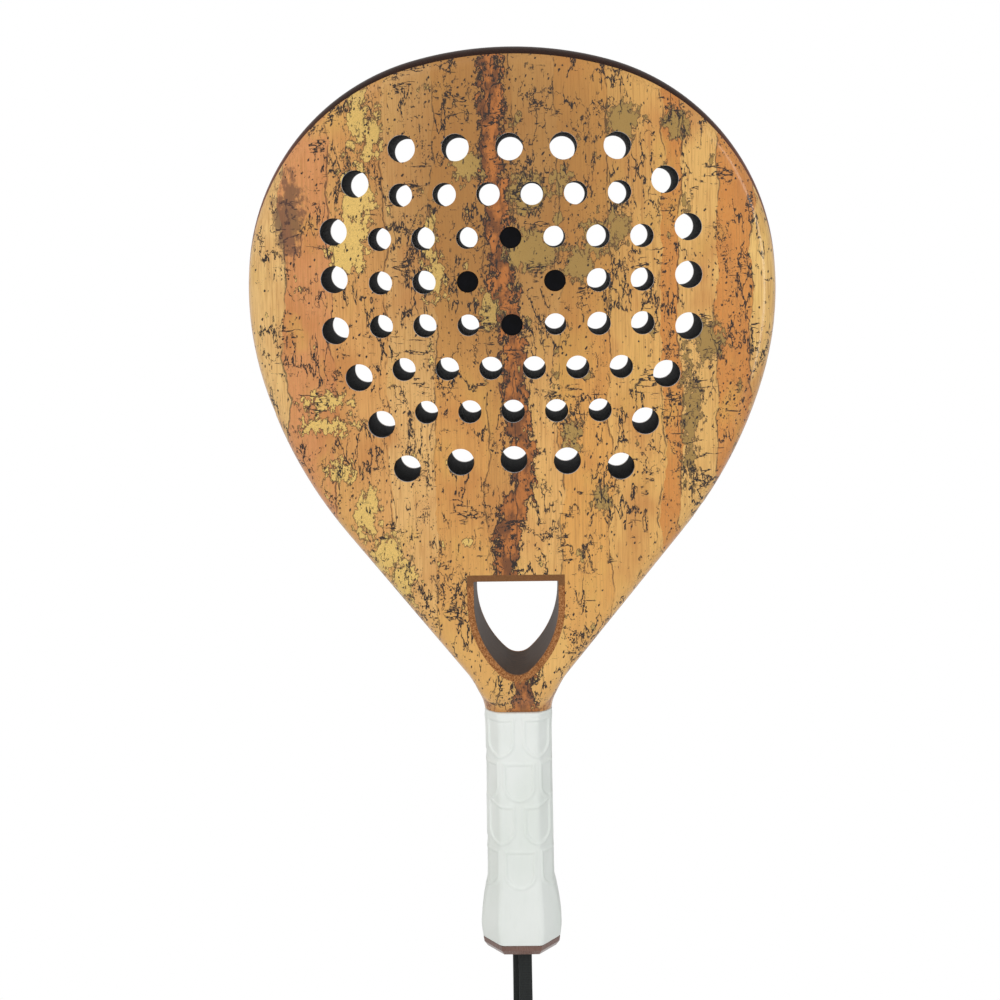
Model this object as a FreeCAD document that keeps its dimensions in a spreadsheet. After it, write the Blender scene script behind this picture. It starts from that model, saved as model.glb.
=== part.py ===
import FreeCAD, Part
import math
import os

import Sketcher

# Padel racket, teardrop head, open throat, octagonal handle and a wrist strap.
# Frame: X across the head, Y through its thickness (front face at -Y), Z along the handle
# towards the head. The origin is on the handle's axis, halfway along the grip.

DIMENSIONS = {
    # head, seen from the front
    "grip_span": 119.5,
    "grid_height": 275.0,
    "head_top": 388.25,
    "crown_radius": 178.0,
    "crown_turn": 15.5,
    "shoulder_radius": 110.5,
    "shoulder_turn": 67.5,
    "flank_radius": 154.5,
    "flank_turn": 23.5,
    "taper_radius": 218.0,
    "taper_turn": 22.5,
    "neck_radius": 40.0,
    "neck_half": 16.4,
    "neck_foot": 40.0,
    # head, seen from the side
    "thickness": 38.0,
    "neck_depth": 26.8,
    "slope_top": 76.5,
    "slope_foot": 57.0,
    "edge_round": 9.0,
    # layers, from the outside in
    "cork": 0.8,
    "laminate": 0.9,
    "hoop_width": 9.5,
    "hoop_wall": 1.6,
    "neck_plane": 60.3,
    "guard_drop": 4.2,
    "guard_foot": 284.0,
    # hoop legs in the handle
    "leg_outer": 12.0,
    "leg_half_depth": 8.6,
    # perforation
    "pitch": 21.1,
    "hole_radius": 5.65,
    "inner_hole_radius": 5.25,
    "outer_hole_radius": 6.6,
    "plug_recess": 0.7,
    # throat opening
    "throat_half": 20.8,
    "throat_top": 127.7,
    "throat_bend": 116.2,
    "throat_side_radius": 45.0,
    "throat_tip_radius": 9.0,
    "liner_wall": 1.6,
    "liner_flange": 3.2,
    "liner_flange_depth": 1.7,
    "throat_ring_wall": 5.8,
    "bridge_height": 9.5,
    # handle
    "sleeve_wall": 1.2,
    "underlay_wall": 0.8,
    "skirt_wall": 1.0,
    "skirt_height": 14.0,
    "hip_half_depth": 15.3,
    "staple_crown": 9.0,
    "staple_wire": 1.0,
    "staple_reach": 4.0,
    "staple_drop": 5.0,
    "cap_height": 6.1,
    "cap_collar": 0.9,
    "collar_wall": 1.5,
    "slot_width": 11.2,
    "slot_depth": 6.4,
    # strap
    "strap_width": 6.8,
    "strap_thick": 2.0,
    "fold_radius": 2.4,
    "fold_clearance": 0.06,
    "fold_lift": 1.6,
    "strap_clearance": 0.4,
    "strap_room_half_depth": 4.9,
    "strap_room_above_pin": 5.0,
    "insert_above_pin": 6.0,
    "pin_radius": 1.5,
    "pin_length": 22.0,
    "pin_height": -50.0,
    "slider_width": 15.0,
    "slider_depth": 10.0,
    "slider_height": 11.0,
    "slider_place": -110.5,
    "slider_slot_half_depth": 3.6,
    "slider_corner": 2.0,
}

doc = FreeCAD.newDocument("padel_racket")
sheet = doc.addObject("Spreadsheet::Sheet", "Sheet")
for row, (alias, value) in enumerate(DIMENSIONS.items(), start=1):
    sheet.set(f"A{row}", alias)
    sheet.set(f"B{row}", str(value))
    sheet.setAlias(f"B{row}", alias)
doc.recompute()


def size(alias):
    """The value of one cell, for the outlines that are worked out here."""
    return float(sheet.get(alias))


V = FreeCAD.Vector
ALONG_X, ALONG_Y, ALONG_Z = V(1, 0, 0), V(0, 1, 0), V(0, 0, 1)
FRONT_PLANE = FreeCAD.Placement(V(0, 0, 0), FreeCAD.Rotation(ALONG_X, 90))
SIDE_PLANE = FreeCAD.Placement(V(0, 0, 0), FreeCAD.Rotation(V(1, 1, 1), 120))
# WIDE is longer than anything it has to enclose; PAST is how far a cutting tool overruns.
WIDE, PAST = 400.0, 1.0
TOUCH = 1e-3


# ---------------------------------------------------------------- small builders
def bind(obj, **expressions):
    for name, expression in expressions.items():
        obj.setExpression(name.replace("__", "."), expression)
    return obj


def box(name, x, y, z, at):
    """A block of sizes x, y, z (expressions), with its low corner at the three expressions in at."""
    block = doc.addObject("Part::Box", name)
    bind(block, Length=x, Width=y, Height=z)
    for axis, expression in zip("xyz", at):
        block.setExpression(f"Placement.Base.{axis}", expression)
    return block


def cylinder(name, radius, length, axis, at):
    """A cylinder centred on the point at (expressions), along axis."""
    rod = doc.addObject("Part::Cylinder", name)
    rod.Placement.Rotation = FreeCAD.Rotation(ALONG_Z, axis)
    bind(rod, Radius=radius, Height=length)
    for letter, expression in zip("xyz", at):
        if getattr(axis, letter):
            expression = f"{expression} - ({length}) / 2"
        rod.setExpression(f"Placement.Base.{letter}", expression)
    return rod


def cut(name, base, tool):
    result = doc.addObject("Part::Cut", name)
    result.Base, result.Tool = base, tool
    return result


def fuse(name, *shapes):
    result = doc.addObject("Part::MultiFuse", name)
    result.Shapes = list(shapes)
    return result


def common(name, *shapes):
    result = doc.addObject("Part::MultiCommon", name)
    result.Shapes = list(shapes)
    return result


def together(name, *shapes):
    result = doc.addObject("Part::Compound", name)
    result.Links = list(shapes)
    return result


def extrude(name, profile, direction, length):
    """profile extruded to both sides of its plane, length (an expression) in all."""
    solid = doc.addObject("Part::Extrusion", name)
    solid.Base = profile
    solid.DirMode = "Custom"
    solid.Dir = direction
    solid.Solid = True
    solid.Symmetric = True
    return bind(solid, LengthFwd=length)


def inset(name, profile, distance):
    """profile's outline moved inwards by distance (an expression)."""
    outline = doc.addObject("Part::Offset2D", name)
    outline.Source = profile
    outline.Join = "Intersection"
    return bind(outline, Value=f"-({distance})")


def sketch_of(name, geometry, placement, radii=()):
    """A closed sketch of edges given in order; radii gives (edge number, expression) for its arcs."""
    sketch = doc.addObject("Sketcher::SketchObject", name)
    sketch.Placement = placement
    sketch.addGeometry(geometry, False)
    for number, edge in enumerate(geometry):
        after = (number + 1) % len(geometry)
        ends = [
            (mine, yours)
            for mine, point in enumerate((edge.StartPoint, edge.EndPoint), start=1)
            for yours, other in enumerate((geometry[after].StartPoint, geometry[after].EndPoint), start=1)
            if point.distanceToPoint(other) < TOUCH
        ]
        mine, yours = ends[0]
        sketch.addConstraint(Sketcher.Constraint("Coincident", number, mine, after, yours))
    for number, expression in radii:
        index = sketch.addConstraint(Sketcher.Constraint("Radius", number, geometry[number].Radius))
        sketch.setExpression(f"Constraints[{index}]", expression)
    return sketch


def arc_of(centre, radius, start, end):
    """Arc of a circle from angle start to angle end, anticlockwise, in radians."""
    circle = Part.Circle(V(centre[0], centre[1], 0), V(0, 0, 1), radius)
    return Part.ArcOfCircle(circle, start, end)


def line(a, b):
    return Part.LineSegment(V(a[0], a[1], 0), V(b[0], b[1], 0))


# ---------------------------------------------------------------- outlines
HEAD_SPANS = ("crown", "shoulder", "flank", "taper")


def head_outline():
    """Teardrop: four tangent arcs each side, a straight taper and a hollow arc into the handle."""
    right, left = [], []
    x, z, turned = 0.0, size("head_top"), 0.0
    for part in HEAD_SPANS:
        radius, turn = size(f"{part}_radius"), math.radians(size(f"{part}_turn"))
        cx, cz = x - radius * math.sin(turned), z - radius * math.cos(turned)
        up = math.pi / 2 - turned
        right.append(arc_of((cx, cz), radius, up - turn, up))
        left.append(arc_of((-cx, cz), radius, math.pi - up, math.pi - up + turn))
        turned += turn
        x, z = cx + radius * math.sin(turned), cz + radius * math.cos(turned)
    radius, half, foot = size("neck_radius"), size("neck_half"), size("neck_foot")
    cx, nx, nz = half + radius, math.sin(turned), math.cos(turned)
    cz = z + (radius - (cx - x) * nx) / nz
    tx, tz = cx - radius * nx, cz - radius * nz
    hollow = 1.5 * math.pi - turned
    right += [line((x, z), (tx, tz)), arc_of((cx, cz), radius, hollow, math.pi),
              line((half, cz), (half, foot))]
    left += [line((-x, z), (-tx, tz)), arc_of((-cx, cz), radius, 0.0, math.pi - hollow),
             line((-half, cz), (-half, foot))]
    edges = right + [line((half, foot), (-half, foot))] + left[::-1]
    spans = [f"Sheet.{part}_radius" for part in HEAD_SPANS]
    last = len(edges) - 1
    radii = [(number, span) for number, span in enumerate(spans)]
    radii += [(last - number, span) for number, span in enumerate(spans)]
    hollows = [(len(spans) + 1, "Sheet.neck_radius"), (last - len(spans) - 1, "Sheet.neck_radius")]
    return sketch_of("head_outline", edges, FRONT_PLANE, radii + hollows)


def side_profile():
    """Half thickness along the handle's axis: full over the head, an S-curve down to the neck."""
    full, neck = size("thickness") / 2, size("neck_depth") / 2
    top, foot = size("slope_top"), size("slope_foot")
    high, low = size("head_top") + PAST, size("neck_foot")
    drop, run = full - neck, top - foot
    radius = (run * run + drop * drop) / (4 * drop)
    turn = math.asin(run / 2 / radius)
    right = [
        line((full, high), (full, top)),
        arc_of((full - radius, top), radius, -turn, 0.0),
        arc_of((neck + radius, foot), radius, math.pi - turn, math.pi),
        line((neck, foot), (neck, low)),
    ]
    left = [
        line((-full, high), (-full, top)),
        arc_of((radius - full, top), radius, math.pi, math.pi + turn),
        arc_of((-neck - radius, foot), radius, 0.0, turn),
        line((-neck, foot), (-neck, low)),
    ]
    edges = right + [line((neck, low), (-neck, low))] + left[::-1] + [line((-full, high), (full, high))]
    return sketch_of("side_profile", edges, SIDE_PLANE)


def throat_outline():
    """D with a straight top, short straight sides, and side arcs that meet in a round tip."""
    half, top, bend = size("throat_half"), size("throat_top"), size("throat_bend")
    side, tip = size("throat_side_radius"), size("throat_tip_radius")
    cx = half - side
    cz = bend - math.sqrt((side - tip) ** 2 - cx * cx)
    lean = math.atan2(bend - cz, -cx)
    edges = [
        line((-half, top), (half, top)),
        line((half, top), (half, bend)),
        arc_of((cx, bend), side, -lean, 0.0),
        arc_of((0.0, cz), tip, math.pi + lean, 2 * math.pi - lean),
        arc_of((-cx, bend), side, math.pi, math.pi + lean),
        line((-half, bend), (-half, top)),
    ]
    radii = [(2, "Sheet.throat_side_radius"), (3, "Sheet.throat_tip_radius"), (4, "Sheet.throat_side_radius")]
    return sketch_of("throat_outline", edges, FRONT_PLANE, radii)


# Where an octagon's corners are drawn before its constraints place them.
DRAWN_FAR, DRAWN_NEAR = 12.0, 8.0


def octagon(name, height, half_width, half_depth, corner_x, corner_y):
    """Level octagonal sketch at a height; every size is an expression."""
    sketch = doc.addObject("Sketcher::SketchObject", name)
    sketch.setExpression("Placement.Base.z", height)
    near_x, near_y = f"({half_width} - ({corner_x}))", f"({half_depth} - ({corner_y}))"
    corners = [
        (1, half_width, -1, near_y), (1, half_width, 1, near_y), (1, near_x, 1, half_depth),
        (-1, near_x, 1, half_depth), (-1, half_width, 1, near_y), (-1, half_width, -1, near_y),
        (-1, near_x, -1, half_depth), (1, near_x, -1, half_depth),
    ]
    drawn = [
        (sx * (DRAWN_FAR if ex == half_width else DRAWN_NEAR),
         sy * (DRAWN_FAR if ey == half_depth else DRAWN_NEAR))
        for sx, ex, sy, ey in corners
    ]
    sketch.addGeometry([line(a, b) for a, b in zip(drawn, drawn[1:] + drawn[:1])], False)
    for step, (sx, ex, sy, ey) in enumerate(corners):
        sketch.addConstraint(Sketcher.Constraint("Coincident", step, 2, (step + 1) % len(corners), 1))
        for kind, sign, expression, value in (("DistanceX", sx, ex, drawn[step][0]),
                                              ("DistanceY", sy, ey, drawn[step][1])):
            index = sketch.addConstraint(Sketcher.Constraint(kind, -1, 1, step, 1, value))
            sketch.setExpression(f"Constraints[{index}]", f"{sign} * ({expression})")
    return sketch


def loft(name, sections):
    solid = doc.addObject("Part::Loft", name)
    solid.Sections = sections
    solid.Solid = True
    solid.Ruled = True
    return solid


# ---------------------------------------------------------------- nested envelopes of the head
head = head_outline()
profile = side_profile()
SKIN = "(Sheet.cork + Sheet.laminate)"
CAVITY = f"({SKIN} + Sheet.hoop_wall)"
HOOP_INSIDE = f"({SKIN} + Sheet.hoop_width)"
FULL = "Sheet.thickness"


def rounded_edges(shape):
    """Numbers of the edges between the side wall and the two faces of a head envelope."""
    chosen = []
    for number, edge in enumerate(shape.Edges, start=1):
        first, last = edge.Vertexes[0].Point, edge.Vertexes[-1].Point
        middle = edge.valueAt((edge.FirstParameter + edge.LastParameter) / 2)
        side_to_side = abs(first.x + last.x) < TOUCH and abs(first.z - last.z) < TOUCH
        if abs(middle.y) > shape.BoundBox.YMax / 2 and not side_to_side:
            chosen.append(number)
    return chosen


def envelope(name, distance, floor="Sheet.neck_plane"):
    """The head's outer form moved inwards by distance, with its long edges rounded."""
    if distance == "0":
        outline, side = head, profile
    else:
        outline, side = inset(f"{name}_outline", head, distance), inset(f"{name}_side", profile, distance)
    front = extrude(f"{name}_front", outline, ALONG_Y, f"{WIDE / 4}")
    flank = extrude(f"{name}_flank", side, ALONG_X, f"{WIDE}")
    zone = box(f"{name}_zone", f"{WIDE}", f"{WIDE}", f"{WIDE}", (f"-{WIDE / 2}", f"-{WIDE / 2}", floor))
    block = common(f"{name}_block", front, flank, zone)
    doc.recompute()
    rounded = doc.addObject("Part::Fillet", name)
    rounded.Base = block
    radius = size("edge_round") - float(sheet_value(distance))
    rounded.Edges = [(number, radius, radius) for number in rounded_edges(block.Shape)]
    return rounded


def sheet_value(expression):
    """A sum of cells, worked out as a number."""
    total = 0.0
    for term in expression.replace("(", "").replace(")", "").split("+"):
        term = term.strip()
        total += size(term.removeprefix("Sheet.")) if term.startswith("Sheet.") else float(term)
    return total


outer = envelope("outer", "0")
under_cork = envelope("under_cork", "Sheet.cork")
under_skin = envelope("under_skin", SKIN)
hoop_cavity = envelope("hoop_cavity", CAVITY, "Sheet.neck_plane + Sheet.hoop_wall")
CORE_DEPTH = f"({FULL} - 2 * {SKIN})"
inside_hoop = extrude("inside_hoop", inset("inside_hoop_outline", head, HOOP_INSIDE), ALONG_Y, CORE_DEPTH)
inside_wall_outline = inset("inside_wall_outline", head, f"({HOOP_INSIDE} - Sheet.hoop_wall)")
inside_wall = extrude("inside_wall", inside_wall_outline, ALONG_Y, CORE_DEPTH)


def slab(name, low, high, half_x=f"{WIDE / 2}", half_y=f"{WIDE / 2}"):
    """A block centred on the handle's axis, between two heights (expressions)."""
    return box(name, f"2 * ({half_x})", f"2 * ({half_y})", f"({high}) - ({low})",
               (f"-({half_x})", f"-({half_y})", low))


def half_space(name, side):
    """Everything in front of the middle plane (side -1) or behind it (side 1)."""
    low = f"-{WIDE / 2}" if side < 0 else "0"
    return box(name, f"{WIDE}", f"{WIDE / 2}", f"{2 * WIDE}", (f"-{WIDE / 2}", low, f"-{WIDE}"))


FRONT, REAR = half_space("front_half", -1), half_space("rear_half", 1)

# ---------------------------------------------------------------- perforation
# Rows of a square grid, counted from its centre; the middle of the grid is not drilled.
GRID_ROWS = {
    2: (0.5, 1.5, 2.5),
    1: (0, 1, 2, 3),
    0: (1, 2, 3),
    -1: (0, 1, 2, 3),
    -2: (0.5, 1.5, 2.5),
    -3: (0, 1, 2),
}
BLIND = {(0, 1), (0, -1), (1, 0)}
# The larger holes run round the grid: distance from the axis and height over the grid's centre.
OUTER_RING = (
    (0, 64.7), (26, 64.7), (51.9, 64.5), (74.6, 47.9), (85.6, 25), (85.7, 2),
    (85.6, -22.9), (74.7, -45.9), (64.2, -68.9), (52.1, -90.9), (26, -88), (0, -87),
)


def both_sides(across):
    return (across,) if across == 0 else (-across, across)


def perforation():
    """Cylinders for every hole, and for the four that stay closed."""
    through, closed = [], []
    for row, columns in GRID_ROWS.items():
        for column in columns:
            near = max(abs(column), abs(row)) <= 1
            radius = "Sheet.inner_hole_radius" if near else "Sheet.hole_radius"
            for across in both_sides(column):
                tool = cylinder(f"hole_{len(through) + len(closed)}", radius, FULL, ALONG_Y,
                                (f"{across} * Sheet.pitch", "0", f"Sheet.grid_height + {row} * Sheet.pitch"))
                (closed if (abs(column), row) in BLIND else through).append(tool)
    for distance, height in OUTER_RING:
        for across in both_sides(distance):
            through.append(cylinder(f"ring_hole_{len(through)}", "Sheet.outer_hole_radius", FULL, ALONG_Y,
                                    (f"{across}", "0", f"Sheet.grid_height + {height}")))
    return through, closed


through_holes, closed_holes = perforation()
all_holes = together("all_holes", *(through_holes + closed_holes))
print(f"holes: {len(through_holes)} through, {len(closed_holes)} closed")

# ---------------------------------------------------------------- throat
throat = throat_outline()
liner_inner = extrude("liner_inner", throat, ALONG_Y, f"{WIDE}")
liner_outer = extrude("liner_outer", inset("liner_outer_outline", throat, "-Sheet.liner_wall"), ALONG_Y, FULL)
flange_outer = extrude("flange_outer", inset("flange_outline", throat, "-Sheet.liner_flange"), ALONG_Y, FULL)
ring_outer = extrude(
    "ring_outer", inset("ring_outline", throat, "-(Sheet.liner_wall + Sheet.throat_ring_wall)"), ALONG_Y, FULL
)
core_band = box("core_band", f"{WIDE}", f"{FULL} - 2 * Sheet.liner_flange_depth", f"{2 * WIDE}",
                (f"-{WIDE / 2}", f"Sheet.liner_flange_depth - {FULL} / 2", f"-{WIDE}"))

nodes = {}


def publish(name, obj):
    """obj is one sub-part of the racket; its label names its file."""
    obj.Label = name
    nodes[name] = obj


liner_body = fuse("liner_body", cut("liner_flanges", flange_outer, core_band), liner_outer)
publish("throat_liner", cut("throat_liner_cut", liner_body, liner_inner))

# ---------------------------------------------------------------- skins
lowered_head = extrude("lowered_head", head, ALONG_Y, f"{WIDE / 2}")
lowered_head.setExpression("Placement.Base.z", "-Sheet.guard_drop")
guard_limit = fuse("guard_limit", lowered_head, slab("under_guard", "Sheet.neck_foot", "Sheet.guard_foot"))
publish("head_guard", cut("head_guard_cut", cut("outer_skin", outer, under_skin), guard_limit))

openings = together("openings", all_holes, flange_outer)
cork_zone = common("cork_zone", cut("cork_layer", outer, under_cork), guard_limit)
cork_shell = cut("cork_shell", cork_zone, openings)
laminate_zone = common("laminate_zone", cut("laminate_layer", under_cork, under_skin), guard_limit)
laminate_shell = cut("laminate_shell", laminate_zone, openings)
for side, half in (("front", FRONT), ("rear", REAR)):
    publish(f"{side}_cork", common(f"{side}_cork_half", cork_shell, half))
    publish(f"{side}_laminate", common(f"{side}_laminate_half", laminate_shell, half))

# ---------------------------------------------------------------- hoop, bridge and ring
LEG_INNER = f"(Sheet.neck_half - {HOOP_INSIDE})"
HANDLE_FOOT = "(-Sheet.grip_span / 2)"


def hoop_leg(name, side, wall, top):
    """One leg of the hoop in the handle, or its hollow when wall is not 0."""
    inner, outward = f"({LEG_INNER} + {wall})", f"(Sheet.leg_outer - {wall})"
    low = inner if side > 0 else f"-{outward}"
    deep = f"(Sheet.leg_half_depth - {wall})"
    return box(name, f"{outward} - {inner}", f"2 * {deep}", f"{top} - {HANDLE_FOOT}",
               (low, f"-{deep}", HANDLE_FOOT))


legs = [hoop_leg(f"leg_{side}", side, "0", "Sheet.neck_plane") for side in (-1, 1)]
leg_hollows = [
    hoop_leg(f"leg_hollow_{side}", side, "Sheet.hoop_wall", "Sheet.neck_plane + 2 * Sheet.hoop_wall")
    for side in (-1, 1)
]
hoop_ring = cut("hoop_ring", under_skin, inside_hoop)
cavity_ring = cut("cavity_ring", hoop_cavity, inside_wall)
ANCHOR = ("0", "0", "Sheet.pin_height")
anchor_hole = cylinder("anchor_hole", "Sheet.pin_radius", "Sheet.pin_length", ALONG_X, ANCHOR)
hoop_hollow = fuse("hoop_hollow", cavity_ring, *leg_hollows)
hoop_solid = fuse("hoop_solid", hoop_ring, *legs)
publish("frame_hoop", cut("frame_hoop_cut", hoop_solid, together("hoop_tools", hoop_hollow, anchor_hole)))
publish("hoop_filler", cut("hoop_filler_cut", hoop_hollow, anchor_hole))

RING_TOP = "(Sheet.throat_top + Sheet.liner_wall + Sheet.throat_ring_wall)"
BRIDGE_TOP = f"({RING_TOP} + Sheet.bridge_height)"
bridge_block = common("bridge_block", inside_hoop, slab("bridge_zone", RING_TOP, BRIDGE_TOP))
bridge_hollow = slab("bridge_hollow", f"{RING_TOP} + Sheet.hoop_wall", f"{BRIDGE_TOP} - Sheet.hoop_wall",
                     f"{WIDE / 2}", f"{CORE_DEPTH} / 2 - Sheet.hoop_wall")
publish("throat_bridge", cut("throat_bridge_cut", bridge_block, bridge_hollow))
ring_block = common("ring_block", under_skin, inside_hoop, ring_outer)
publish("throat_ring", cut("throat_ring_cut", ring_block, liner_outer))

# ---------------------------------------------------------------- foam
core_block = common("core_block", under_skin, inside_hoop, slab("core_zone", BRIDGE_TOP, "Sheet.head_top"))
publish("core_foam", cut("core_foam_cut", core_block, all_holes))
shoulder_zone = slab("shoulder_zone", "Sheet.neck_plane", RING_TOP)
shoulder_block = common("shoulder_block", under_skin, inside_hoop, shoulder_zone)
publish("shoulder_foam", cut("shoulder_foam_cut", shoulder_block, ring_outer))
plug_length = f"({FULL} - 2 * Sheet.plug_recess)"
plugs = [common(f"plug_{number}", hole, box(f"plug_zone_{number}", f"{WIDE}", plug_length, f"{2 * WIDE}",
         (f"-{WIDE / 2}", f"-{plug_length} / 2", "0"))) for number, hole in enumerate(closed_holes)]
publish("hole_plugs", together("hole_plugs_group", *plugs))

# ---------------------------------------------------------------- handle
# Stations of the grip's outer form: name, height, half width, half depth, corner in X and in Y.
GRIP_STATIONS = (
    ("rim", "Sheet.grip_span / 2", 17.0, 15.1, 6.6, 6.6),
    ("waist", "50", 16.65, 15.0, 6.6, 6.6),
    ("swell", "-28", 17.0, 15.0, 6.8, 6.8),
    ("flare", "-36", 18.3, 15.1, 7.8, 8.0),
    ("hip", "-45", 19.85, "Sheet.hip_half_depth", 8.8, 9.2),
    ("heel", "-52.5", 20.5, 15.4, 9.3, 10.0),
    ("foot", HANDLE_FOOT, 19.8, 15.0, 9.5, 10.2),
)


def grip_form(name, wall):
    """The grip's outer form with every side moved inwards by wall (an expression)."""
    share = 2 - math.sqrt(2)
    sections = [
        octagon(f"{name}_{station}", height, f"{half_x} - ({wall})", f"{half_y} - ({wall})",
                f"{corner_x} - {share / 2:.4f} * ({wall})", f"{corner_y} - {share / 2:.4f} * ({wall})")
        for station, height, half_x, half_y, corner_x, corner_y in GRIP_STATIONS
    ]
    return loft(name, sections)


WALLS = "(Sheet.sleeve_wall + Sheet.underlay_wall)"
grip_outer = grip_form("grip_outer", "0")
under_sleeve = grip_form("under_sleeve", "Sheet.sleeve_wall")
under_wrap = grip_form("under_wrap", WALLS)
under_skirt = grip_form("under_skirt", f"({WALLS} + Sheet.skirt_wall)")
SKIRT_TOP = f"({HANDLE_FOOT} + Sheet.skirt_height)"
skirt_zone = slab("skirt_zone", f"{HANDLE_FOOT} - {PAST}", SKIRT_TOP)
skirt = cut("skirt", common("skirt_block", under_wrap, skirt_zone), under_skirt)


def staple(name, side):
    """A staple through the cap's skirt: a crown across the face and two legs into the pallet."""
    crown, wire, reach = "Sheet.staple_crown", "Sheet.staple_wire", "Sheet.staple_reach"
    face = f"{side} * (Sheet.hip_half_depth - Sheet.sleeve_wall - {wire})"
    height = f"{SKIRT_TOP} - Sheet.staple_drop"
    outside = face if side > 0 else f"{face} - {wire}"
    inside = f"{face} - {reach}" if side > 0 else outside
    return fuse(
        name,
        box(f"{name}_crown", crown, wire, wire, (f"-{crown} / 2", outside, height)),
        box(f"{name}_leg_a", wire, f"{reach} + {wire}", wire, (f"-{crown} / 2", inside, height)),
        box(f"{name}_leg_b", wire, f"{reach} + {wire}", wire, (f"{crown} / 2 - {wire}", inside, height)),
    )


staples = together("staples", staple("front_staple", -1), staple("rear_staple", 1))
publish("cap_staples", staples)
publish("grip_sleeve", cut("grip_sleeve_cut", grip_outer, under_sleeve))
publish("grip_underlay", cut("grip_underlay_cut", cut("underlay_tube", under_sleeve, under_wrap), staples))

leg_room = slab("leg_room", HANDLE_FOOT, "Sheet.grip_span / 2", "Sheet.leg_outer", "Sheet.leg_half_depth")
pallets = cut("pallets", under_wrap, together("pallet_tools", leg_room, skirt, staples))
publish("front_pallet", common("front_pallet_half", pallets, FRONT))
publish("rear_pallet", common("rear_pallet_half", pallets, REAR))
INSERT_TOP = "(Sheet.pin_height + Sheet.insert_above_pin)"
publish("handle_filler",
        slab("handle_filler_block", INSERT_TOP, "Sheet.neck_plane", LEG_INNER, "Sheet.leg_half_depth"))
insert_block = slab("insert_block", HANDLE_FOOT, INSERT_TOP, LEG_INNER, "Sheet.leg_half_depth")
strap_room = slab("strap_room", f"{HANDLE_FOOT} - {PAST}", "Sheet.pin_height + Sheet.strap_room_above_pin",
                  "Sheet.strap_width / 2 + Sheet.strap_clearance", "Sheet.strap_room_half_depth")
insert_tools = together("insert_tools", strap_room, anchor_hole)
publish("butt_insert", cut("butt_insert_cut", insert_block, insert_tools))
publish("anchor_pin", cylinder("anchor_pin_rod", "Sheet.pin_radius", "Sheet.pin_length", ALONG_X, ANCHOR))

# ---------------------------------------------------------------- butt cap
CAP_FOOT = f"({HANDLE_FOOT} - Sheet.cap_height)"
CAP_STATIONS = (
    ("cap_brim", HANDLE_FOOT, 19.5, 14.8, 9.4, 10.0),
    ("cap_side", f"{HANDLE_FOOT} - 2.6", 19.1, 14.5, 9.2, 9.8),
    ("cap_turn", f"{HANDLE_FOOT} - 5.2", 17.4, 12.9, 8.6, 9.0),
    ("cap_foot", CAP_FOOT, 14.2, 10.2, 7.2, 7.4),
)
cap_block = loft("cap_block", [
    octagon(name, height, f"{half_x}", f"{half_y}", f"{corner_x}", f"{corner_y}")
    for name, height, half_x, half_y, corner_x, corner_y in CAP_STATIONS
])


def slot_form(name, width, depth, low, high):
    """An upright slot with round ends, between two heights (expressions)."""
    middle = slab(f"{name}_middle", low, high, f"({width} - {depth}) / 2", f"{depth} / 2")
    ends = []
    for side in (-1, 1):
        end = doc.addObject("Part::Cylinder", f"{name}_end_{'a' if side < 0 else 'b'}")
        bind(end, Radius=f"{depth} / 2", Height=f"({high}) - ({low})")
        end.setExpression("Placement.Base.x", f"{side} * ({width} - {depth}) / 2")
        end.setExpression("Placement.Base.z", low)
        ends.append(end)
    return fuse(name, middle, *ends)


COLLAR_FOOT = f"({CAP_FOOT} - Sheet.cap_collar)"
collar = slot_form("collar", "(Sheet.slot_width + 2 * Sheet.collar_wall)",
                   "(Sheet.slot_depth + 2 * Sheet.collar_wall)", COLLAR_FOOT, f"{CAP_FOOT} + {PAST}")
slot = slot_form("slot", "Sheet.slot_width", "Sheet.slot_depth", f"{COLLAR_FOOT} - {PAST}",
                 f"{HANDLE_FOOT} + {PAST}")
cap_solid = fuse("cap_solid", cap_block, collar, skirt)
publish("butt_cap", cut("butt_cap_cut", cap_solid, together("cap_tools", slot, staples)))

# ---------------------------------------------------------------- wrist strap
# The strap is one flat webbing. Its line lies in the plane X = 0; each half is a list of
# (Y, Z) corners from the cap's mouth down to the lowest run, and the other half mirrors it.
MOUTH = size("grip_span") / -2 - size("cap_height") - size("cap_collar")
STRAP_HALF = (
    (-1.4, MOUTH),
    (-1.4, -92.0),
    (-1.9, -118.0),
    (-9.0, -149.0),
    (-22.5, -177.0),
    (-24.0, -202.0),
    (-9.9, -216.2),
)
TAIL_HALF = (
    (-1.4, MOUTH + size("fold_lift")),
    (-1.6, -62.5),
    (-3.0, -56.5),
    (-3.1, -46.9),
)
ARC_SHARE = 0.45


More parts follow.
